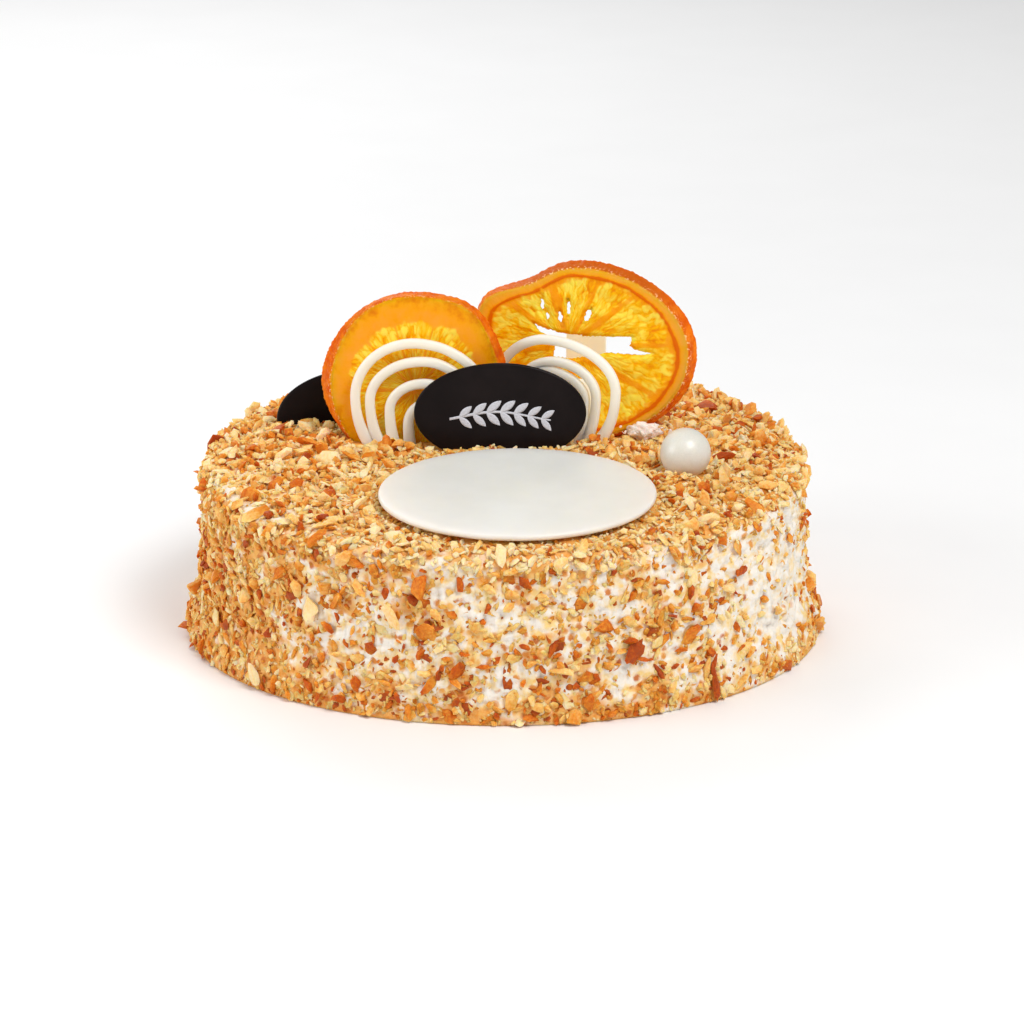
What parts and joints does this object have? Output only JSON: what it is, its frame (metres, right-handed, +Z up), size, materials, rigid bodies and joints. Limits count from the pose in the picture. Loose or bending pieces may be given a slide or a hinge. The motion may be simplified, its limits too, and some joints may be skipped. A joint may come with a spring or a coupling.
{
  "type": "orange cake",
  "caption": "Round cream cake coated in chopped roasted nuts, topped with dried orange slices, white chocolate arches and plaque, dark chocolate plaques and a sugar pearl.",
  "frame": {"origin": "middle of the flat underside of the cake", "axes": "+Z up through the middle of the cake, -Y towards the front with the flat white plaque, +X to the viewer's right"},
  "size_m": [0.2233, 0.2136, 0.1245],
  "materials": {
    "nut_crust": "chopped roasted nuts, matte",
    "cream": "whipped cream, soft satin",
    "orange_peel": "dried candied peel, pitted gloss",
    "orange_flesh": "dried orange flesh, translucent gloss",
    "white_chocolate": "white chocolate, satin",
    "dark_chocolate": "dark chocolate, satin gloss",
    "silver_print": "pale edible print",
    "sugar_pearl": "pearly sugar coat"
  },
  "bodies": {
    "root": {"cake": "nut_crust", "orange_slice_left": "orange_flesh", "orange_slice_right": "orange_flesh", "rings_left": "white_chocolate", "rings_right": "white_chocolate", "dark_plaque_front": "dark_chocolate", "dark_plaque_back": "dark_chocolate", "white_tile_front": "white_chocolate", "white_tile_back": "white_chocolate", "white_plaque": "white_chocolate", "pearl": "sugar_pearl"}
  },
  "joints": []
}
